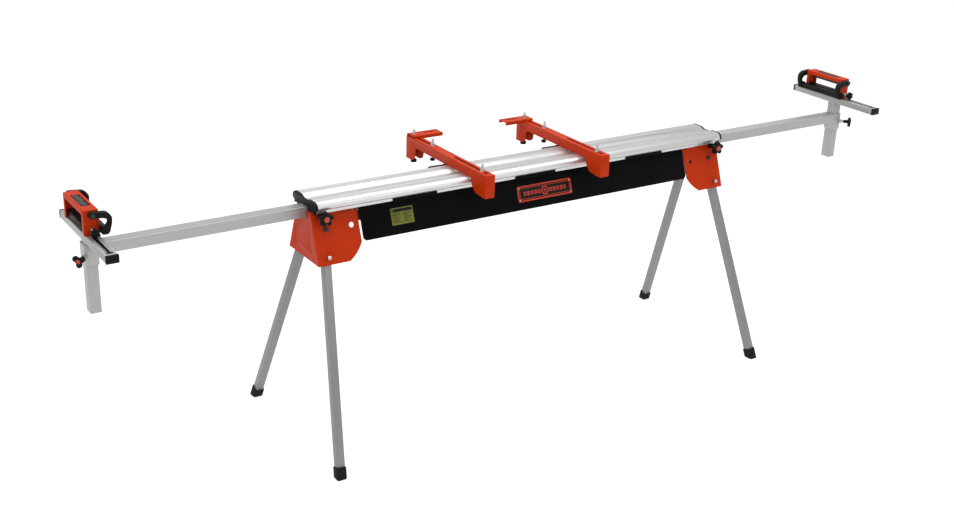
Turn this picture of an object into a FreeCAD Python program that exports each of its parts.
"""Folding extendable stand for a miter saw: beam, telescoping arms, roller supports, folding legs.

Millimetres. X runs along the beam, Y to the back, Z up. The origin is on the floor under the
middle of the beam.
"""
import FreeCAD, Part
import math
import os
import re

import Sketcher
from FreeCAD import Placement, Rotation, Vector

doc = FreeCAD.newDocument("folding_saw_stand")

# ---------------------------------------------------------------- driving dimensions
SIZES = {
    # beam extrusion and its end caps
    "beam_half": 762.0, "cap_thick": 8.0, "beam_top": 756.3, "dip_top": 750.0, "dip_flat": 10.0,
    "deck_edge": 28.0, "lobe_start": 56.0, "lobe_out": 75.0, "lobe_mid": 741.5, "lobe_low": 731.5,
    "lobe_upper": 17.5, "lobe_lower": 11.0, "lip_out": 63.0, "lip_low": 722.0, "box_low": 724.0,
    "channel_in": 20.2, "channel_low": 697.0, "channel_lip": 12.0, "deck_low": 733.0, "skin": 2.5,
    "groove_wide": 1.6, "groove_deep": 1.0,
    # folded sheet brackets and the tilted plane that legs and panels share
    "tilt": 20.3, "bracket_half": 765.0, "bracket_in": 618.0, "sheet": 3.0, "bracket_low": 575.0,
    "pivot_across": 723.5, "pivot_up": 671.0, "pivot_out": 60.6, "corner_round": 118.0,
    "flange_in": 26.0, "end_drop": 3.0, "notch_half": 21.0, "notch_low": 698.5,
    "rivet_hole": 5.0, "rivet_across": 47.0, "rivet_up": 605.0, "hang_hole": 10.0,
    # legs
    "leg_side": 25.4, "leg_wall": 1.6, "leg_gap": 1.5, "leg_round": 4.0, "leg_splay": 6.3,
    "leg_head": 15.0, "foot_side": 31.0, "foot_tall": 32.0, "foot_round": 6.0, "foot_sole": 8.0,
    "bolt_size": 8.0, "bolt_head": 16.0, "bolt_head_tall": 5.0, "lock_reach": 81.5, "lock_size": 8.0,
    "lock_head": 13.0, "play": 0.3, "shaft_play": 0.1,
    # side panels, name plate and label
    "panel_half": 612.0, "panel_low": 621.0, "panel_thick": 2.5, "panel_corner": 8.0,
    "tab_half": 75.0, "tab_pitch": 433.0, "plate_wide": 206.0, "plate_tall": 49.0,
    "plate_across": 38.0, "plate_up": 667.0, "label_wide": 75.0, "label_tall": 50.0,
    "label_across": 475.0, "label_up": 670.5,
    # telescoping arms and their clamp knobs
    "arm_wide": 38.7, "arm_tall": 31.8, "arm_top": 732.2, "arm_wall": 2.0, "arm_length": 750.0,
    "arm_plug": 30.0, "knob_across": 736.0, "knob_up": 712.0, "arm_knob_out": 50.5,
    "arm_knob_tall": 44.0, "lobe_head": 18.0,
    # posts
    "post_across": 1381.0, "post_deep": 30.4, "post_wide": 34.8, "post_length": 205.1,
    "post_wall": 2.0, "sleeve_wall": 3.0, "sleeve_play": 0.5, "sleeve_low": 674.0,
    "left_bar_top": 763.4, "right_bar_top": 794.8, "post_knob_up": 703.0,
    # cross bars on the posts
    "tee_wide": 33.7, "tee_tall": 21.7, "tee_half": 192.0, "tee_wall": 2.0, "tee_slot": 9.0,
    "tee_slot_half": 176.0, "tee_entry": 17.0, "tee_cap": 6.0,
    # roller supports
    "support_mid": 47.5, "frame_half": 83.5, "frame_deep": 41.0, "frame_tall": 70.0,
    "frame_sheet": 2.5, "frame_lip": 13.0, "window_half": 48.0, "window_deep": 24.0,
    "axle_size": 8.0, "axle_drop": 12.0, "roller_size": 27.0, "roller_half": 46.0,
    "shoe_deep": 28.0, "shoe_tall": 22.0, "stop_thick": 16.0, "stop_gap": 1.0,
    "support_knob_up": 15.6,
    # saw mounting bars
    "left_rail_at": -231.7, "right_rail_at": 197.9, "rail_wide": 34.0, "rail_top": 785.0,
    "rail_low": 756.5, "rail_sheet": 3.0, "rail_front": 158.0, "hook_low": 714.0, "rear_low": 711.0,
    "stud_size": 8.0, "shank_size": 7.2, "stud_top": 808.0, "stud_rear": 288.0, "stud_middle": 172.0,
    "stud_front": 112.0, "slot_wide": 8.8, "rear_slot_near": 167.0, "rear_slot_far": 275.0,
    "front_slot_near": 44.0, "front_slot_far": 141.0, "cross_reach": 92.0, "cross_wide": 42.0,
    "cross_tall": 7.0, "cross_drop": 11.0, "lever_up": 741.0, "lever_thick": 11.0,
    "lever_back": 92.0, "lever_reach": 60.0, "cam_radius": 13.5, "cam_offset": 3.0,
}

sheet = doc.addObject("Spreadsheet::Sheet", "dims")
for row, (alias, number) in enumerate(SIZES.items(), start=1):
    sheet.set("A%d" % row, alias)
    sheet.set("B%d" % row, str(number))
    sheet.setAlias("B%d" % row, alias)
doc.recompute()

NODES = {}


# ---------------------------------------------------------------- helpers
def bound(expression):
    """Write a size expression with its words pointing at the sheet."""
    return re.sub(r"[a-z_]+", lambda word: "dims." + word[0] if word[0] in SIZES else word[0],
                  expression)


def value(expression):
    return float(sheet.evalExpression(bound(expression)))


def bind(thing, field, expression):
    thing.setExpression(field, bound(expression))


def new_body(label):
    body = doc.addObject("PartDesign::Body", label)
    body.Label = label
    return body


def add_sketch(body, role, level, outlines):
    """Sketch on one of the body's origin planes, moved along the plane's normal to level.

    An outline is a list of (across, up) corners, ("circle", across, up, radius), or a corner
    with a third item: the radius of the arc that leaves it, negative where the arc turns left.
    """
    plane = [face for face in body.Origin.OriginFeatures if face.Role == role][0]
    sketch = body.newObject("Sketcher::SketchObject", body.Name + "_sketch")
    sketch.AttachmentSupport = [(plane, "")]
    sketch.MapMode = "FlatFace"
    bind(sketch, "AttachmentOffset.Base.z", level)
    for outline in outlines:
        if outline[0] == "circle":
            add_circle(sketch, *outline[1:])
        else:
            add_outline(sketch, outline)
    return sketch


def pin(sketch, kind, curve, end, expression):
    number = sketch.addConstraint(Sketcher.Constraint(kind, -1, 1, curve, end, value(expression)))
    bind(sketch, "Constraints[%d]" % number, expression)


def add_circle(sketch, across, up, radius):
    centre = Vector(value(across), value(up), 0)
    curve = sketch.addGeometry(Part.Circle(centre, Vector(0, 0, 1), value(radius)))
    pin(sketch, "DistanceX", curve, 3, across)
    pin(sketch, "DistanceY", curve, 3, up)
    number = sketch.addConstraint(Sketcher.Constraint("Radius", curve, value(radius)))
    bind(sketch, "Constraints[%d]" % number, radius)


def arc_between(start, end, radius):
    """Arc of the sketch plane from start to end; a positive radius turns right on the way."""
    chord = end - start
    rise = math.sqrt(max(radius ** 2 - (chord.Length / 2) ** 2, 0.0))
    side = Vector(chord.y, -chord.x, 0).normalize() * math.copysign(rise, radius)
    centre = (start + end) * 0.5 + side
    first, last = (end, start) if radius > 0 else (start, end)
    angles = [math.atan2(point.y - centre.y, point.x - centre.x) for point in (first, last)]
    circle = Part.Circle(centre, Vector(0, 0, 1), abs(radius))
    return Part.ArcOfCircle(circle, *angles)


def add_outline(sketch, outline):
    corners = [Vector(value(corner[0]), value(corner[1]), 0) for corner in outline]
    curves = []
    for index, corner in enumerate(outline):
        start, end = corners[index], corners[(index + 1) % len(corners)]
        if len(corner) == 2:
            curve = sketch.addGeometry(Part.LineSegment(start, end))
            curves.append((curve, 1, 2))
            continue
        radius = value(corner[2])
        curve = sketch.addGeometry(arc_between(start, end, radius))
        curves.append((curve, 2, 1) if radius > 0 else (curve, 1, 2))
        number = sketch.addConstraint(Sketcher.Constraint("Radius", curve, abs(radius)))
        bind(sketch, "Constraints[%d]" % number, "abs(%s)" % corner[2])
    for index, (curve, begin, finish) in enumerate(curves):
        following, following_begin, _ = curves[(index + 1) % len(curves)]
        sketch.addConstraint(
            Sketcher.Constraint("Coincident", curve, finish, following, following_begin))
        pin(sketch, "DistanceX", curve, begin, outline[index][0])
        pin(sketch, "DistanceY", curve, begin, outline[index][1])


def prism(body, role, outlines, low, high):
    """Pad between two levels of the axis that the plane faces: X, Y or Z."""
    level = "-(%s)" % high if role == "XZ_Plane" else low
    pad = body.newObject("PartDesign::Pad", body.Name + "_pad")
    pad.Profile = add_sketch(body, role, level, outlines)
    bind(pad, "Length", "(%s) - (%s)" % (high, low))
    body.Tip = pad
    doc.recompute()
    return pad


def hollow(body, role, outlines, low, high):
    """Pocket between two levels of the axis that the plane faces."""
    before = body.Shape.Volume
    level = "-(%s)" % low if role == "XZ_Plane" else high
    pocket = body.newObject("PartDesign::Pocket", body.Name + "_pocket")
    pocket.Profile = add_sketch(body, role, level, outlines)
    bind(pocket, "Length", "(%s) - (%s)" % (high, low))
    body.Tip = pocket
    doc.recompute()
    if body.Shape.Volume > before - 1e-3:
        raise ValueError("a pocket of %s cuts nothing" % body.Name)
    return pocket


def round_edges(body, radius, wanted):
    """Fillet the edges whose two ends satisfy wanted(start, end)."""
    names = []
    for index, edge in enumerate(body.Shape.Edges, start=1):
        if len(edge.Vertexes) == 2 and wanted(edge.Vertexes[0].Point, edge.Vertexes[1].Point):
            names.append("Edge%d" % index)
    base = body.Tip
    fillet = body.newObject("PartDesign::Fillet", body.Name + "_fillet")
    fillet.Base = (base, names)
    bind(fillet, "Radius", radius)
    body.Tip = fillet
    doc.recompute()


def runs_along(axis):
    """Edge test: straight along one axis, "x", "y" or "z"."""
    others = [name for name in "xyz" if name != axis]
    return lambda start, end: all(abs(getattr(start, name) - getattr(end, name)) < 1e-6
                                  for name in others)


def rectangle(across_low, across_high, up_low, up_high):
    return [(across_low, up_low), (across_high, up_low), (across_high, up_high),
            (across_low, up_high)]


def mirrored(half):
    """Close a half outline that starts and ends on the centre line."""
    other = [("-(%s)" % corner[0], corner[1]) for corner in reversed(half)]
    if value(half[0][0]) == 0:
        other = other[:-1]
    if value(half[-1][0]) == 0:
        other = other[1:]
    return half + other


def rod(name, radius, tall, placement):
    """Cylinder from the placement's origin along its Z axis."""
    cylinder = doc.addObject("Part::Cylinder", name)
    bind(cylinder, "Radius", radius)
    bind(cylinder, "Height", tall)
    cylinder.Placement = placement
    return cylinder


def block(name, corner, sizes, placement=Placement()):
    """Box from its low corner; corner and sizes are expressions."""
    box = doc.addObject("Part::Box", name)
    for field, expression in zip(("Length", "Width", "Height"), sizes):
        bind(box, field, expression)
    start = Vector(*[value(expression) for expression in corner])
    box.Placement = placement.multiply(Placement(start, Rotation()))
    return box


def join(name, pieces):
    fusion = doc.addObject("Part::MultiFuse", name)
    fusion.Shapes = pieces
    fusion.Refine = True
    return fusion


def group(name, pieces):
    """Several separate solids in one node."""
    compound = doc.addObject("Part::Compound", name)
    compound.Links = pieces
    return compound


def cut(name, base, tool):
    difference = doc.addObject("Part::Cut", name)
    difference.Base = base
    difference.Tool = tool
    difference.Refine = True
    return difference


def node(label, thing):
    thing.Label = label
    NODES[label] = thing
    return thing


def spot(across, back, up, rotation=Rotation()):
    return Placement(Vector(value(across), value(back), value(up)), rotation)


TO_FRONT = Rotation(Vector(1, 0, 0), 90)
TO_BACK = Rotation(Vector(1, 0, 0), -90)
TO_RIGHT = Rotation(Vector(0, 1, 0), 90)
HALF_TURN = Placement(Vector(), Rotation(Vector(0, 0, 1), 180))
TILTED = Placement(Vector(0, -value("pivot_out"), value("pivot_up")),
                   Rotation(Vector(1, 0, 0), -value("tilt")))
SIDES = {"left": -1, "right": 1}


def on_slope(face):
    """Frame of the front or rear slope: X along the beam, Z up the slope, Y inwards.

    At the rear the frame's X points the other way, towards -X.
    """
    return TILTED if face == "front" else HALF_TURN.multiply(TILTED)


def slope_side(face, side):
    """Sign of the frame's own X on which a left or right piece lies."""
    return SIDES[side] if face == "front" else -SIDES[side]


def up_slope(height):
    """Distance along the slope from the pivot's level to a height above the floor."""
    return "((%s) - pivot_up) / cos(tilt)" % height


# ---------------------------------------------------------------- beam
def deck_half(bottom):
    """Right half of the deck's top and bullnose, from the centre line to a given bottom."""
    return [("0", "dip_top"), ("dip_flat", "dip_top"), ("deck_edge", "beam_top"),
            ("lobe_start", "beam_top", "lobe_upper"), ("lobe_out", "lobe_mid", "lobe_lower"),
            ("lip_out + 1", "lobe_low"), ("lip_out", "lobe_low"), ("lip_out", "lip_low")] + bottom


def beam_rail():
    body = new_body("beam_rail")
    half_length = "beam_half - cap_thick"
    channel = [("lip_out - skin", "lip_low"), ("lip_out - skin", "box_low"),
               ("channel_in + skin", "box_low"), ("channel_in + skin", "channel_low"),
               ("channel_lip", "channel_low"), ("channel_lip", "channel_low + skin"),
               ("channel_in", "channel_low + skin"), ("channel_in", "deck_low"), ("0", "deck_low")]
    prism(body, "YZ_Plane", [closed(deck_half(channel))], "-(%s)" % half_length, half_length)
    box = [("channel_in + skin", "box_low + skin"), ("lip_out - skin", "box_low + skin"),
           ("lip_out", "lobe_low + skin"), ("lobe_out - skin - 1.5", "lobe_mid - 3"),
           ("lobe_out - skin - 1.5", "lobe_mid + 1"), ("lobe_out - 9", "beam_top - 7.5"),
           ("lobe_start", "beam_top - skin"), ("deck_edge + 1", "beam_top - skin"),
           ("channel_in + skin", "beam_top - skin - 2.2")]
    middle = [("channel_in - skin", "deck_low + skin"), ("channel_in - skin", "dip_top"),
              ("dip_flat", "dip_top - skin")]
    other_box = [("-(%s)" % across, up) for across, up in box]
    middle += [("-(%s)" % across, up) for across, up in reversed(middle)]
    hollow(body, "YZ_Plane", [box, other_box, middle], "-beam_half", "beam_half")
    grooves = []
    for across, top in (("0", "dip_top"), ("46", "beam_top"), ("-46", "beam_top"),
                        ("deck_edge + 2", "beam_top"), ("-deck_edge - 2", "beam_top")):
        grooves.append(rectangle(across + " - groove_wide / 2", across + " + groove_wide / 2",
                                 top + " - groove_deep", top + " + 1"))
    hollow(body, "YZ_Plane", grooves, "-beam_half", "beam_half")
    holes = [("circle", sign + "knob_across", "knob_up", "4.6") for sign in ("-", "")]
    hollow(body, "XZ_Plane", holes, "-channel_in - 2 * skin", "-channel_in + 1")
    screws = [("circle", "%s(%s)" % (sign, place), back + "(flange_in + 7)", "3.3")
              for sign in ("-", "") for place in SCREW_PLACES for back in ("-", "")]
    hollow(body, "XY_Plane", screws, "box_low - 1", "box_low + skin + 1")
    return node("beam_rail", body)


def closed(half):
    """Outline from a right half with arcs: the left half mirrors it, arcs included."""
    left = []
    for index in range(len(half) - 1, -1, -1):
        corner = half[index]
        before = half[index - 1] if index else ()
        arc = (before[2],) if len(before) == 3 else ()
        left.append(("-(%s)" % corner[0], corner[1]) + arc)
    if value(half[-1][0]) == 0:
        left = left[1:]
    if value(half[0][0]) == 0:
        left = left[:-1]
    return half + left


SCREW_PLACES = ("bracket_in + 26", "bracket_in + 74")


def beam_cap(side):
    """Moulded end cap: the deck's outline, two lobes, a waist over the arm, and two plugs."""
    body = new_body(side + "_beam_cap")
    bottom = [("lip_out - skin", "lip_low"), ("lip_out - skin", "box_low + play"),
              ("28", "box_low + play"), ("24", "box_low + 4"), ("24", "deck_low"),
              ("0", "deck_low")]
    low, high = "beam_half - cap_thick", "beam_half"
    plug_low, plug_high = low + " - 12", low
    if side == "left":
        low, high = "-beam_half", "-beam_half + cap_thick"
        plug_low, plug_high = high, high + " + 12"
    prism(body, "YZ_Plane", [closed(deck_half(bottom))], low, high)
    plugs = [rectangle(sign + "30", sign + "57", "box_low + skin + 1", "beam_top - skin - 3")
             for sign in ("", "-")]
    prism(body, "YZ_Plane", plugs, plug_low, plug_high)
    outer = value(low if side == "left" else high)
    round_edges(body, "1.5", lambda start, end: abs(start.x - outer) + abs(end.x - outer) < 1e-6
                and min(start.z, end.z) > value("beam_top - 0.01"))
    return node(side + "_beam_cap", body)


# ---------------------------------------------------------------- leg brackets
def bracket_cheek(side, face):
    """One sloping cheek of a bracket, with the leg's pivot, lock and fold holes."""
    body = new_body("%s_%s_cheek" % (side, face))
    sign = "" if slope_side(face, side) > 0 else "-"
    low, top = up_slope("bracket_low"), up_slope("box_low")
    arc_start = "sqrt(corner_round ^ 2 - (pivot_across - bracket_in) ^ 2)"
    arc_end = "pivot_across - sqrt(corner_round ^ 2 - (%s) ^ 2)" % low
    radius = "-corner_round" if sign == "" else "corner_round"
    corners = [("bracket_half", top), ("bracket_in", top), ("bracket_in", "-" + arc_start, radius),
               (arc_end, low), ("bracket_half", low)]
    outline = [("%s(%s)" % (sign, corner[0]),) + corner[1:] for corner in corners]
    prism(body, "XZ_Plane", [outline], "0", "sheet")
    lock = ("pivot_across + lock_reach * sin(leg_splay)", "-lock_reach * cos(leg_splay)")
    holes = [("pivot_across", "0", "bolt_size / 2 + shaft_play"),
             lock + ("lock_size / 2 + shaft_play",),
             ("pivot_across - lock_reach", "0", "lock_size"),
             ("bracket_in + 12", up_slope("714"), "hang_hole / 2")]
    circles = [("circle", "%s(%s)" % (sign, across), up, size) for across, up, size in holes]
    hollow(body, "XZ_Plane", circles, "-1", "sheet + 1")
    body.Placement = on_slope(face)
    return body


def leg_bracket(side):
    """Cheeks, end plate, top flanges and the clamp knob's weld nut as one folded sheet."""
    sign = "-" if side == "left" else ""
    cheeks = [bracket_cheek(side, face) for face in ("front", "rear")]
    plate = new_body(side + "_end_plate")
    slope_edge = "pivot_out + (pivot_up - (%s)) * tan(tilt) - sheet / 2"
    half = [("notch_half", "box_low - end_drop"), (slope_edge % "box_low - end_drop",
            "box_low - end_drop"), (slope_edge % "bracket_low", "bracket_low"),
            ("0", "bracket_low")]
    notch = [("0", "notch_low"), ("notch_half", "notch_low")]
    low, high = "bracket_half - sheet", "bracket_half"
    if side == "left":
        low, high = "-bracket_half", "-bracket_half + sheet"
    prism(plate, "YZ_Plane", [mirrored(notch + half)], low, high)
    rivets = [("circle", back + "rivet_across", "rivet_up", "rivet_hole / 2")
              for back in ("-", "")]
    hollow(plate, "YZ_Plane", rivets, low + " - 1", high + " + 1")
    flanges = new_body(side + "_flanges")
    across = ["%sbracket_in" % sign, "%s(bracket_half - cap_thick - sheet)" % sign]
    across.sort(key=value)
    cheek_top = "pivot_out + (pivot_up - box_low) * tan(tilt) - 0.5"
    strips = [rectangle(across[0], across[1], "flange_in", cheek_top),
              rectangle(across[0], across[1], "-(%s)" % cheek_top, "-flange_in")]
    prism(flanges, "XY_Plane", strips, "box_low - sheet", "box_low")
    screws = [("circle", "%s(%s)" % (sign, place), back + "(flange_in + 7)", "3.3")
              for place in SCREW_PLACES for back in ("-", "")]
    hollow(flanges, "XY_Plane", screws, "box_low - sheet - 1", "box_low + 1")
    nut = rod(side + "_weld_nut", "7", "15.5",
              spot(sign + "knob_across", "-42.5", "knob_up", TO_BACK))
    folded = join(side + "_folded_bracket", cheeks + [plate, flanges, nut])
    drill = rod(side + "_knob_drill", "4 + shaft_play", "40",
                spot(sign + "knob_across", "-60", "knob_up", TO_BACK))
    return node(side + "_leg_bracket", cut(side + "_leg_bracket", folded, drill))


def bracket_screws():
    """Hexagon screws that hold the bracket flanges up against the beam."""
    pieces = []
    for sign in ("-", ""):
        for place in SCREW_PLACES:
            for back in ("-", ""):
                across = "%s(%s)" % (sign, place)
                row = back + "(flange_in + 7)"
                name = "screw_%d" % len(pieces)
                head = rod(name + "_head", "5.5", "4", spot(across, row, "box_low - sheet - 4"))
                shank = rod(name + "_shank", "3", "sheet + 7",
                            spot(across, row, "box_low - sheet - 1"))
                pieces.append(join(name, [head, shank]))
    return node("bracket_screws", group("bracket_screws", pieces))


# ---------------------------------------------------------------- legs
def leg_frame(side, face):
    """Frame of a leg: origin on its pivot, Y along the pivot's axis, -Z down the leg."""
    sign = slope_side(face, side)
    middle = Placement(Vector(sign * value("pivot_across"), value("sheet + leg_gap + leg_side / 2"), 0),
                       Rotation(Vector(0, 1, 0), -sign * value("leg_splay")))
    return on_slope(face).multiply(middle)


LEG_LENGTH = ("(pivot_up - (sheet + leg_gap + leg_side / 2) * sin(tilt))"
              " / (cos(leg_splay) * cos(tilt))")


def leg(side, face):
    name = "%s_%s_leg" % (side, face)
    body = new_body(name)
    half, inner = "leg_side / 2", "leg_side / 2 - leg_wall"
    low, high = "foot_sole - (%s)" % LEG_LENGTH, "leg_head"
    prism(body, "XY_Plane", [rectangle("-" + half, half, "-" + half, half)], low, high)
    round_edges(body, "leg_round", runs_along("z"))
    hollow(body, "XY_Plane", [rectangle("-(%s)" % inner, inner, "-(%s)" % inner, inner)],
           low + " - 1", high + " + 1")
    hollow(body, "XZ_Plane", [("circle", "0", "0", "bolt_size / 2 + shaft_play")],
           "-leg_side", "leg_side")
    hollow(body, "XZ_Plane", [("circle", "0", "-lock_reach", "lock_size / 2 + play")],
           "-leg_side", "0")
    body.Placement = leg_frame(side, face)
    return node(name, body)


def foot(side, face):
    """Rubber boot over the leg's end, cut level with the floor."""
    name = "%s_%s_foot" % (side, face)
    boot = new_body(name + "_boot")
    half = "foot_side / 2"
    low = "-(%s) - foot_side / 2" % LEG_LENGTH
    high = "foot_tall - (%s)" % LEG_LENGTH
    prism(boot, "XY_Plane", [rectangle("-" + half, half, "-" + half, half)], low, high)
    round_edges(boot, "foot_round", runs_along("z"))
    inner = "leg_side / 2 + 0.02"
    hollow(boot, "XY_Plane", [rectangle("-(%s)" % inner, inner, "-(%s)" % inner, inner)],
           "foot_sole - (%s)" % LEG_LENGTH, high + " + 1")
    boot.Placement = leg_frame(side, face)
    floor = block(name + "_floor", ("-1000", "-500", "-100"), ("2000", "1000", "100"))
    return node(name, cut(name, boot, floor))


def lock_pin(side, face):
    """Spring plunger in the cheek, drawn back so that its nose just clears the leg."""
    name = "%s_%s_lock_pin" % (side, face)
    sign = slope_side(face, side)
    place = Placement(Vector(sign * value("pivot_across + lock_reach * sin(leg_splay)"), 0,
                             -value("lock_reach * cos(leg_splay)")), Rotation())
    base = on_slope(face).multiply(place)
    shank = rod(name + "_shank", "lock_size / 2", "12 + sheet + leg_gap - play",
                base.multiply(Placement(Vector(0, -12, 0), TO_BACK)))
    head = rod(name + "_head", "lock_head / 2", "5",
               base.multiply(Placement(Vector(0, -13, 0), TO_BACK)))
    return node(name, join(name, [shank, head]))


def leg_pivot_bolts():
    """One bolt, washer pair and nut at each leg's pivot."""
    pieces = []
    for side in SIDES:
        for face in ("front", "rear"):
            name = "%s_%s_bolt" % (side, face)
            sign = slope_side(face, side)
            base = on_slope(face).multiply(
                Placement(Vector(sign * value("pivot_across"), 0, 0), Rotation()))
            parts = (("head", "bolt_head / 2", "-bolt_head_tall", "bolt_head_tall"),
                     ("washer", "bolt_head / 2 - 1", "sheet", "leg_gap - 0.1"),
                     ("shank", "bolt_size / 2", "-1", "sheet + leg_gap + leg_side + 8"),
                     ("nut", "bolt_head / 2 - 1.5", "sheet + leg_gap + leg_side + 0.3", "6.5"))
            rods = [rod(name + "_" + kind, radius, tall,
                        base.multiply(Placement(Vector(0, value(start), 0), TO_BACK)))
                    for kind, radius, start, tall in parts]
            pieces.append(join(name, rods))
    return node("leg_pivot_bolts", group("leg_pivot_bolts", pieces))


# ---------------------------------------------------------------- side panels
def side_panel(face):
    """Sloping sheet that hides the folded legs, hung on the beam's lip by three tabs."""
    name = face + "_side_panel"
    body = new_body(name + "_sheet")
    top, low = up_slope("box_low - 4"), up_slope("panel_low")
    half = "panel_half"
    outline = [("-" + half, low + " + panel_corner"), ("-%s + panel_corner" % half, low),
               (half + " - panel_corner", low), (half, low + " + panel_corner"), (half, top),
               ("-" + half, top)]
    outer = "sheet - panel_thick * 2"
    prism(body, "XZ_Plane", [outline], outer, outer + " + panel_thick")
    body.Placement = on_slope(face)
    tabs = new_body(name + "_tabs")
    sign = "-" if face == "front" else ""
    inner = "pivot_out + (pivot_up - box_low) * tan(tilt) + 0.5"
    for index in range(3):
        middle = ("-tab_pitch", "0", "tab_pitch")[index]
        across = (middle + " - tab_half", middle + " + tab_half")
        ledge = ["%s(%s)" % (sign, inner), sign + "(lip_out + skin)"]
        ledge.sort(key=value)
        prism(tabs, "XY_Plane", [rectangle(*across, *ledge)], "lip_low - skin", "lip_low")
        lip = [sign + "lip_out", sign + "(lip_out + skin)"]
        lip.sort(key=value)
        prism(tabs, "XY_Plane", [rectangle(*across, *lip)], "lip_low - skin", "lobe_low - 2.5")
    return node(name, join(name, [body, tabs]))


def front_plate(name, across, up, wide, tall, thick, corner):
    """Thin plate lying on the front panel's face."""
    body = new_body(name)
    outer = "sheet - panel_thick * 2"
    low, high = "%s - (%s) / 2", "%s + (%s) / 2"
    outline = rectangle(low % (across, wide), high % (across, wide),
                        low % (up_slope(up), tall), high % (up_slope(up), tall))
    prism(body, "XZ_Plane", [outline], "%s - %s" % (outer, thick), outer)
    round_edges(body, corner, runs_along("y"))
    body.Placement = TILTED
    return node(name, body)


# ---------------------------------------------------------------- arms and posts
def arm(side):
    """Square tube with the post's sleeve welded across its outer end."""
    name = side + "_arm"
    sign = "-" if side == "left" else ""
    sleeve_half = "post_deep / 2 + sleeve_play + sleeve_wall"
    inner_end = "post_across - (%s) - arm_length" % sleeve_half
    ends = ["%s(%s)" % (sign, inner_end), "%s(post_across - (%s) + 1)" % (sign, sleeve_half)]
    ends.sort(key=value)
    half, low = "arm_wide / 2", "arm_top - arm_tall"
    tube = new_body(name + "_tube")
    prism(tube, "YZ_Plane", [rectangle("-" + half, half, low, "arm_top")], ends[0], ends[1])
    round_edges(tube, "2", runs_along("x"))
    hollow(tube, "YZ_Plane", [rectangle("-%s + arm_wall" % half, half + " - arm_wall",
                                        low + " + arm_wall", "arm_top - arm_wall")],
           ends[0] + " - 1", ends[1] + " + 1")
    sleeve = new_body(name + "_sleeve")
    middle = sign + "post_across"
    deep, wide = sleeve_half, "post_wide / 2 + sleeve_play + sleeve_wall"
    prism(sleeve, "XY_Plane", [rectangle("%s - (%s)" % (middle, deep), "%s + %s" % (middle, deep),
                                         "-(%s)" % wide, wide)], "sleeve_low", "arm_top")
    round_edges(sleeve, "3", runs_along("z"))
    nut = rod(name + "_nut", "7", "9", post_knob_frame(side, 0))
    bore = new_body(name + "_bore")
    deep, wide = "post_deep / 2 + sleeve_play", "post_wide / 2 + sleeve_play"
    prism(bore, "XY_Plane", [rectangle("%s - (%s)" % (middle, deep), "%s + %s" % (middle, deep),
                                       "-(%s)" % wide, wide)], "sleeve_low - 10", "arm_top + 10")
    thread = rod(name + "_thread", "4 + shaft_play", "40", post_knob_frame(side, -12))
    welded = join(name + "_welded", [tube, sleeve, nut])
    return node(name, cut(name, welded, join(name + "_tools", [bore, thread])))


def post_knob_frame(side, start):
    """Frame on the sleeve's outer front corner, Z pointing diagonally out of it."""
    sign = SIDES[side]
    out = Vector(sign, -1, 0).normalize()
    corner = Vector(sign * value("post_across + post_deep / 2 + 0.8"), -value("post_wide / 2 + 0.8"),
                    value("post_knob_up"))
    return Placement(corner + out * start, Rotation(Vector(), Vector(0, 0, 1), out, "ZYX"))


def arm_plug(side):
    """Glide plug in the arm's inner end, a close fit in the beam's channel."""
    name = side + "_arm_plug"
    sign = "-" if side == "left" else ""
    inner_end = "post_across - (post_deep / 2 + sleeve_play + sleeve_wall) - arm_length"
    ends = ["%s(%s)" % (sign, inner_end), "%s(%s - 3)" % (sign, inner_end)]
    stem = ["%s(%s)" % (sign, inner_end), "%s(%s + arm_plug)" % (sign, inner_end)]
    ends.sort(key=value)
    stem.sort(key=value)
    half, low = "arm_wide / 2", "arm_top - arm_tall"
    body = new_body(name)
    prism(body, "YZ_Plane", [rectangle("-%s - play" % half, half + " + play", low + " - play",
                                       "arm_top + play")], ends[0], ends[1])
    prism(body, "YZ_Plane", [rectangle("-%s + arm_wall + 0.1" % half, half + " - arm_wall - 0.1",
                                       low + " + arm_wall + 0.1", "arm_top - arm_wall - 0.1")],
          stem[0], stem[1])
    return node(name, body)


def lobed_knob(name, frame, lobes, reach, lobe_radius, hub_radius, thick, hub_start, head_start):
    """Knob along the frame's Z: hub, lobed head with a raised centre button."""
    hub = rod(name + "_hub", hub_radius, "%s - (%s)" % (head_start, hub_start),
              frame.multiply(Placement(Vector(0, 0, value(hub_start)), Rotation())))
    head = frame.multiply(Placement(Vector(0, 0, value(head_start)), Rotation()))
    pieces = [hub, rod(name + "_disc", "%s - 1" % reach, thick, head)]
    for index in range(lobes):
        angle = math.radians(90 + index * 360 / lobes)
        offset = Vector(math.cos(angle), math.sin(angle), 0) * value(reach)
        pieces.append(rod("%s_lobe_%d" % (name, index), lobe_radius, thick,
                          head.multiply(Placement(offset, Rotation()))))
    button = head.multiply(Placement(Vector(0, 0, value(thick)), Rotation()))
    pieces.append(rod(name + "_button", "(%s) * 0.62" % reach, "1.5", button))
    return pieces


def arm_knob(side):
    """Clamp knob whose screw bears on the arm's front face."""
    name = side + "_arm_knob"
    sign = "-" if side == "left" else ""
    frame = spot(sign + "knob_across", "-arm_knob_out", "knob_up", TO_FRONT)
    pieces = lobed_knob(name, frame, 5, "15.5", "7", "9.2", "16", "0", "26")
    screw = rod(name + "_screw", "4", "arm_knob_out + 6 - arm_wide / 2 - play",
                spot(sign + "knob_across", "-arm_knob_out - 6", "knob_up", TO_BACK))
    return node(name, join(name, pieces + [screw]))


def post_knob(side):
    """Three-lobed clamp knob on the sleeve's corner."""
    name = side + "_post_knob"
    pieces = lobed_knob(name, post_knob_frame(side, 0), 3, "11", "7.5", "6.5", "10", "16", "32")
    screw = rod(name + "_screw", "4", "26", post_knob_frame(side, -1.6))
    return node(name, join(name, pieces + [screw]))


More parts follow.
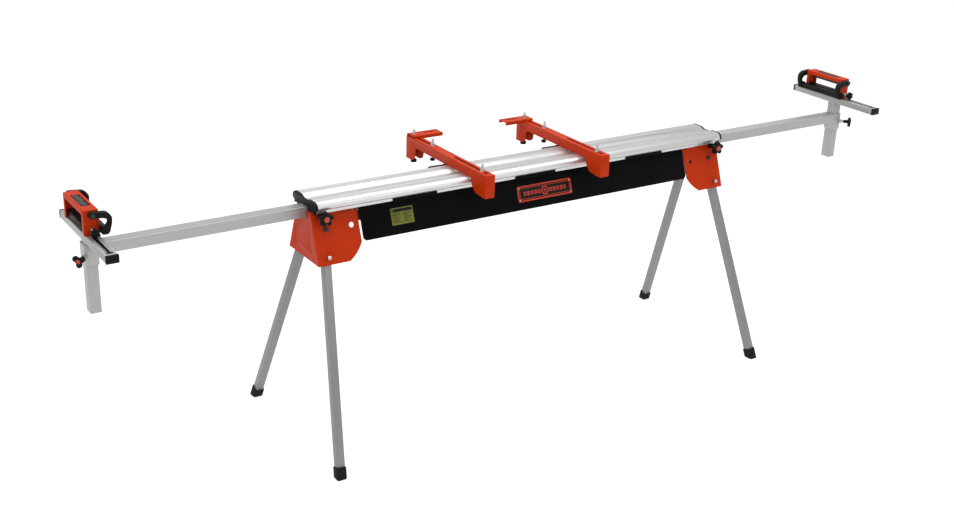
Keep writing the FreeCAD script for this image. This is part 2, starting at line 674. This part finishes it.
def bar_top(side):
    return side + "_bar_top"


def post(side):
    name = side + "_post"
    middle = "-post_across" if side == "left" else "post_across"
    body = new_body(name)
    top = bar_top(side) + " - tee_tall"
    low = top + " - post_length"
    deep, wide = "post_deep / 2", "post_wide / 2"
    prism(body, "XY_Plane", [rectangle(middle + " - " + deep, middle + " + " + deep,
                                       "-" + wide, wide)], low, top)
    round_edges(body, "2", runs_along("z"))
    hollow(body, "XY_Plane", [rectangle(middle + " - %s + post_wall" % deep,
                                        middle + " + %s - post_wall" % deep,
                                        "-%s + post_wall" % wide, wide + " - post_wall")],
           low + " - 1", top + " + 1")
    return node(name, body)


def tee_bar(side):
    """Slotted tube across the post's top; the slot widens at both ends to let the shoe in."""
    name = side + "_tee_bar"
    middle = "-post_across" if side == "left" else "post_across"
    body = new_body(name)
    top = bar_top(side)
    low = top + " - tee_tall"
    edges = (middle + " - tee_wide / 2", middle + " + tee_wide / 2")
    prism(body, "XZ_Plane", [rectangle(*edges, low, top)], "-tee_half + tee_cap",
          "tee_half - tee_cap")
    round_edges(body, "1.5", runs_along("y"))
    hollow(body, "XZ_Plane", [rectangle(edges[0] + " + tee_wall", edges[1] + " - tee_wall",
                                        low + " + tee_wall", top + " - tee_wall")],
           "-tee_half", "tee_half")
    slots = [rectangle(middle + " - tee_slot / 2", middle + " + tee_slot / 2",
                       "-tee_slot_half + 5", "tee_slot_half - 5")]
    hollow(body, "XY_Plane", slots, top + " - tee_wall - 1", top + " + 1")
    entries = [rectangle(middle + " - tee_entry / 2", middle + " + tee_entry / 2", low_end, high_end)
               for low_end, high_end in (("-tee_slot_half", "-tee_slot_half + 12"),
                                         ("tee_slot_half - 12", "tee_slot_half"))]
    hollow(body, "XY_Plane", entries, top + " - tee_wall - 1", top + " + 1")
    return node(name, body)


def tee_caps(side):
    """Moulded plugs in both ends of the cross bar."""
    name = side + "_tee_caps"
    middle = "-post_across" if side == "left" else "post_across"
    top = bar_top(side)
    pieces = []
    for face, sign in (("front", "-"), ("rear", "")):
        cap = new_body("%s_%s" % (name, face))
        outer = [sign + "tee_half", sign + "(tee_half - tee_cap)"]
        inner = [sign + "(tee_half - tee_cap)", sign + "(tee_half - tee_cap - 9)"]
        outer.sort(key=value)
        inner.sort(key=value)
        proud = "tee_wide / 2 + 0.4"
        prism(cap, "XZ_Plane", [rectangle("%s - (%s)" % (middle, proud),
                                          "%s + %s" % (middle, proud),
                                          top + " - tee_tall - 0.4", top + " + 0.4")], *outer)
        round_edges(cap, "1.5", runs_along("y"))
        snug = "tee_wide / 2 - tee_wall - 0.1"
        prism(cap, "XZ_Plane", [rectangle("%s - (%s)" % (middle, snug), "%s + %s" % (middle, snug),
                                          top + " - tee_tall + tee_wall + 0.1",
                                          top + " - tee_wall - 0.1")], *inner)
        pieces.append(cap)
    return node(name, group(name, pieces))


# ---------------------------------------------------------------- roller supports
def roller_frame(side):
    """Folded sheet frame: top plate with lips and a window, and two end legs."""
    name = side + "_roller_frame"
    middle = "-post_across" if side == "left" else "post_across"
    top = bar_top(side) + " + frame_tall"
    edges = (middle + " - frame_deep / 2", middle + " + frame_deep / 2")
    ends = ("support_mid - frame_half", "support_mid + frame_half")
    body = new_body(name)
    prism(body, "XZ_Plane", [rectangle(*edges, bar_top(side) + " + 0.3", top)], *ends)
    round_edges(body, "2.5", lambda start, end: runs_along("y")(start, end)
                and start.z > value(top) - 0.1)
    round_edges(body, "2.5", lambda start, end: runs_along("x")(start, end)
                and start.z > value(top) - 0.1)
    hollow(body, "XZ_Plane",
           [rectangle(edges[0] + " + frame_sheet", edges[1] + " - frame_sheet",
                      bar_top(side), top + " - frame_sheet")],
           ends[0] + " + frame_sheet", ends[1] + " - frame_sheet")
    hollow(body, "YZ_Plane",
           [rectangle(ends[0] + " + frame_lip", ends[1] + " - frame_lip",
                      bar_top(side), top + " - frame_lip")], edges[0] + " - 1", edges[1] + " + 1")
    hollow(body, "XY_Plane",
           [rectangle(middle + " - window_deep / 2", middle + " + window_deep / 2",
                      "support_mid - window_half", "support_mid + window_half")],
           top + " - frame_sheet - 1", top + " + 1")
    hollow(body, "XZ_Plane", [("circle", middle, top + " - axle_drop", "axle_size / 2 + 0.02")],
           ends[0] + " - 1", ends[1] + " + 1")
    hollow(body, "XZ_Plane",
           [("circle", middle, bar_top(side) + " + support_knob_up", "4 + shaft_play")],
           ends[0] + " - 1", ends[0] + " + frame_sheet + 1")
    return node(name, body)


def slide_shoe(side):
    """Shoe between the frame's legs that runs in the cross bar's slot."""
    name = side + "_slide_shoe"
    middle = "-post_across" if side == "left" else "post_across"
    top = bar_top(side)
    body = new_body(name)
    ends = ("support_mid - frame_half + frame_sheet", "support_mid + frame_half - frame_sheet")
    prism(body, "XZ_Plane", [rectangle(middle + " - shoe_deep / 2", middle + " + shoe_deep / 2",
                                       top + " + play", top + " + shoe_tall")], *ends)
    round_edges(body, "3", lambda start, end: runs_along("y")(start, end)
                and start.z > value(top + " + shoe_tall") - 0.1)
    prism(body, "XZ_Plane", [rectangle(middle + " - tee_slot / 2 + 0.4",
                                       middle + " + tee_slot / 2 - 0.4",
                                       top + " - tee_wall - 0.4", top + " + play")],
          ends[0] + " + 8", ends[0] + " + 60")
    prism(body, "XZ_Plane", [rectangle(middle + " - 7.5", middle + " + 7.5",
                                       top + " - tee_wall - 5", top + " - tee_wall - 0.4")],
          ends[0] + " + 8", ends[0] + " + 60")
    hollow(body, "XZ_Plane", [("circle", middle, top + " + support_knob_up", "4 + shaft_play")],
           ends[0] + " - 1", ends[0] + " + 24")
    return node(name, body)


def roller_axle(side):
    name = side + "_roller_axle"
    middle = "-post_across" if side == "left" else "post_across"
    ends = "frame_half + stop_gap + stop_thick + 2.5"
    start = spot(middle, "support_mid - (%s)" % ends, axle_up(side), TO_BACK)
    shaft = rod(name + "_shaft", "axle_size / 2", "2 * (%s)" % ends, start)
    heads = []
    for index, offset in enumerate(("-(%s)" % ends, "%s - 2" % ends)):
        heads.append(rod("%s_head_%d" % (name, index), "6", "2",
                         spot(middle, "support_mid + " + offset, axle_up(side), TO_BACK)))
    return node(name, join(name, [shaft] + heads))


def axle_up(side):
    return bar_top(side) + " + frame_tall - axle_drop"


def roller(side):
    name = side + "_roller"
    middle = "-post_across" if side == "left" else "post_across"
    body = new_body(name)
    radius = "roller_size / 2"
    prism(body, "XZ_Plane", [("circle", middle, axle_up(side), radius)],
          "support_mid - roller_half", "support_mid + roller_half")
    hollow(body, "XZ_Plane", [("circle", middle, axle_up(side), "axle_size / 2 + shaft_play")],
           "support_mid - roller_half - 1", "support_mid + roller_half + 1")
    return node(name, body)


def flip_stop(side):
    """Two D-shaped arms on the axle's ends, joined by a bar on the side towards the saw."""
    name = side + "_flip_stop"
    middle = "-post_across" if side == "left" else "post_across"
    inwards = "+" if side == "left" else "-"
    up = axle_up(side)
    turn = "" if side == "left" else "-"

    def corners(points):
        return [("%s %s (%s)" % (middle, inwards, point[0]), "%s + (%s)" % (up, point[1]))
                + tuple(turn + radius for radius in point[2:]) for point in points]

    loop = corners([("0", "9"), ("32", "6", "22"), ("50", "-14"), ("49", "-26"), ("43", "-49"),
                    ("37", "-55"), ("24", "-55"), ("19", "-50"), ("19", "-38"), ("24", "-33"),
                    ("34", "-33"), ("40", "-26"), ("40", "-19"), ("34", "-12"), ("26", "-9"),
                    ("5", "-7.5", "9"), ("-9", "0", "9")])
    bar = corners([("21.5", "-39"), ("24", "-36"), ("36", "-36"), ("41", "-41"), ("41", "-50"),
                   ("36", "-55"), ("24", "-55"), ("21.5", "-52")])
    body = new_body(name)
    near, far = "(frame_half + stop_gap)", "(frame_half + stop_gap + stop_thick)"
    for low, high in (("support_mid - " + far, "support_mid - " + near),
                      ("support_mid + " + near, "support_mid + " + far)):
        prism(body, "XZ_Plane", [loop], low, high)
        hollow(body, "XZ_Plane", [("circle", middle, up, "axle_size / 2 + shaft_play")],
               low + " - 1", high + " + 1")
    prism(body, "XZ_Plane", [bar], "support_mid - frame_half - 2", "support_mid + frame_half + 2")
    return node(name, body)


def support_knob(side):
    """Knob that clamps the shoe, on the foot of the frame's front leg."""
    name = side + "_support_knob"
    middle = "-post_across" if side == "left" else "post_across"
    front = "support_mid - frame_half - stop_gap - stop_thick"
    height = bar_top(side) + " + support_knob_up"
    frame = spot(middle, front, height, TO_FRONT)
    pieces = lobed_knob(name, frame, 6, "9.5", "4", "7", "12", "1.5", "6")
    screw = rod(name + "_screw", "4", "stop_gap + stop_thick + 24",
                spot(middle, front + " - 3", height, TO_BACK))
    return node(name, join(name, pieces + [screw]))


# ---------------------------------------------------------------- saw mounting bars
REAR_END = "pivot_out + pivot_up * tan(tilt) - (sheet + leg_gap + leg_side / 2 - foot_side / 2) / cos(tilt)"


def mount_rail(side):
    """Inverted channel across the beam: front hook, rear hook, bolt slots, lever pivot."""
    name = side + "_mount_rail"
    at = side + "_rail_at"
    body = new_body(name)
    wide = "rail_wide / 2"
    profile = [(REAR_END, "rail_top"), (REAR_END, "rear_low"), ("274", "rear_low"),
               ("257", "rear_low + 8"), ("250", "rail_low - 4"), ("244", "rail_low"),
               ("-lobe_out - 2", "rail_low"), ("-lobe_out - 7", "rail_low - 19"),
               ("-lobe_out - 27", "hook_low + 4"), ("-rail_front + 14", "hook_low"),
               ("-rail_front", "hook_low"), ("-rail_front", "rail_top")]
    prism(body, "YZ_Plane", [profile], "%s - %s" % (at, wide), "%s + %s" % (at, wide))
    round_edges(body, "3", lambda start, end: runs_along("y")(start, end)
                and start.z > value("rail_top") - 0.1)
    round_edges(body, "3", lambda start, end: runs_along("z")(start, end)
                and start.y < value("-rail_front") + 0.1)
    inner = [("%s - rail_sheet" % REAR_END, "rail_top - rail_sheet"),
             ("%s - rail_sheet" % REAR_END, "rear_low - 10"), ("-rail_front + rail_sheet", "rear_low - 10"),
             ("-rail_front + rail_sheet", "rail_top - rail_sheet")]
    hollow(body, "YZ_Plane", [inner], "%s - %s + rail_sheet" % (at, wide),
           "%s + %s - rail_sheet" % (at, wide))
    slots = [rectangle(at + " - slot_wide / 2", at + " + slot_wide / 2", low, high)
             for low, high in (("rear_slot_near", "rear_slot_far"),
                               ("-front_slot_far", "front_slot_near"))]
    slots.append(("circle", at, "stud_rear", "slot_wide / 2"))
    hollow(body, "XY_Plane", slots, "rail_top - rail_sheet - 1", "rail_top + 1")
    pivot = rod(name + "_pivot", "4", "rail_top - rail_sheet - lever_up + lever_thick / 2 + 4",
                spot(at, "lever_back", "lever_up - lever_thick / 2 - 3"))
    keeper = rod(name + "_keeper", "6", "2.2", spot(at, "lever_back",
                                                    "lever_up - lever_thick / 2 - 3"))
    return node(name, join(name, [body, pivot, keeper]))


def cross_piece(side):
    """Short channel on the rear end of a mounting bar, pointing inwards."""
    name = side + "_cross_piece"
    at = side + "_rail_at"
    sign = "+" if side == "left" else "-"
    near, root, far = "rail_wide / 2", "rail_wide / 2 + play", "cross_reach"

    def span(first, last):
        pair = ["%s %s (%s)" % (at, sign, first), "%s %s (%s)" % (at, sign, last)]
        pair.sort(key=value)
        return pair

    back = (REAR_END + " - 3 - cross_wide", REAR_END + " - 3")
    body = new_body(name)
    prism(body, "XY_Plane", [rectangle(*span("-" + near, far), *back)], "rail_top",
          "rail_top + cross_tall")
    prism(body, "XY_Plane", [rectangle(*span(root, far), *back)], "rail_top - 4", "rail_top")
    hollow(body, "XY_Plane", [rectangle(*span("-rail_wide", "rail_wide * 4"),
                                        back[0] + " + 2.5", back[1] + " - 2.5")],
           "rail_top - 4 - 1", "rail_top + cross_tall - 2.5")
    holes = [("circle", at, "stud_rear", "slot_wide / 2"),
             rectangle(*span("rail_wide / 2 + 18", "cross_reach - 14"),
                       "stud_rear - slot_wide / 2", "stud_rear + slot_wide / 2")]
    hollow(body, "XY_Plane", holes, "rail_top", "rail_top + cross_tall + 1")
    return node(name, body)


def mount_studs(side):
    """Three bolts standing up through a mounting bar, with washers, nuts and round heads."""
    name = side + "_mount_studs"
    at = side + "_rail_at"
    rows = (("rear", "stud_rear", "rail_top + cross_tall", "rear_low - 12", "10", "9"),
            ("middle", "stud_middle", "rail_top", "rail_low - 20", "8", "8"),
            ("front", "-stud_front", "rail_top", "rail_low - 14", "8", "8"))
    pieces = []
    for label, back, seat, low, head, tall in rows:
        base = "%s_%s" % (name, label)
        parts = (("head", head, tall, low), ("shank", "shank_size / 2", "%s - (%s)" % (seat, low), low),
                 ("thread", "stud_size / 2", "stud_top - (%s)" % seat, seat),
                 ("washer", "8", "1.5", seat), ("nut", "6.5", "6", seat + " + 1.5"))
        rods = [rod(base + "_" + kind, radius, height, spot(at, back, start))
                for kind, radius, height, start in parts]
        pieces.append(join(base, rods))
    return node(name, group(name, pieces))


def clamp_lever(side):
    """Cam lever under a mounting bar; its cam bears on the beam's rear bullnose."""
    name = side + "_clamp_lever"
    at = side + "_rail_at"
    body = new_body(name)
    low, high = "lever_up - lever_thick / 2", "lever_up + lever_thick / 2"
    prism(body, "XY_Plane", [("circle", at, "lever_back - cam_offset", "cam_radius")], low, high)
    handle = [(at, "lever_back - 6"), (at, "lever_back + 6.5"),
              (at + " - lever_reach + 12", "lever_back + 9"), (at + " - lever_reach", "lever_back + 8"),
              (at + " - lever_reach - 2", "lever_back + 1"),
              (at + " - lever_reach + 4", "lever_back - 2")]
    prism(body, "XY_Plane", [handle], low, high)
    hollow(body, "XY_Plane", [("circle", at, "lever_back", "4 + shaft_play")], low + " - 1",
           high + " + 1")
    return node(name, body)


# ---------------------------------------------------------------- build
def build():
    beam_rail()
    for side in SIDES:
        beam_cap(side)
        leg_bracket(side)
    bracket_screws()
    leg_pivot_bolts()
    for face in ("front", "rear"):
        side_panel(face)
        for side in SIDES:
            leg(side, face)
            foot(side, face)
            lock_pin(side, face)
    front_plate("name_plate", "plate_across", "plate_up", "plate_wide", "plate_tall", "1.5", "3")
    front_plate("info_label", "-label_across", "label_up", "label_wide", "label_tall", "0.4", "2")
    for side in SIDES:
        for make in (arm, arm_plug, arm_knob, post, tee_bar, tee_caps, post_knob, roller_frame,
                     slide_shoe, roller_axle, roller, flip_stop, support_knob, mount_rail,
                     cross_piece, mount_studs, clamp_lever):
            make(side)


def check_and_write():
    doc.recompute()
    failed = [thing.Name for thing in doc.Objects
              if "Invalid" in thing.State or "Error" in thing.State]
    if failed:
        raise RuntimeError("failed objects: " + ", ".join(failed))
    for label, thing in NODES.items():
        if thing.Shape.isNull() or not thing.Shape.isValid():
            raise RuntimeError(label + " has no valid shape")
    os.makedirs("parts", exist_ok=True)
    for label, thing in NODES.items():
        thing.Shape.exportStep("parts/%s.step" % label)
    print("%d nodes" % len(NODES))


build()
check_and_write()
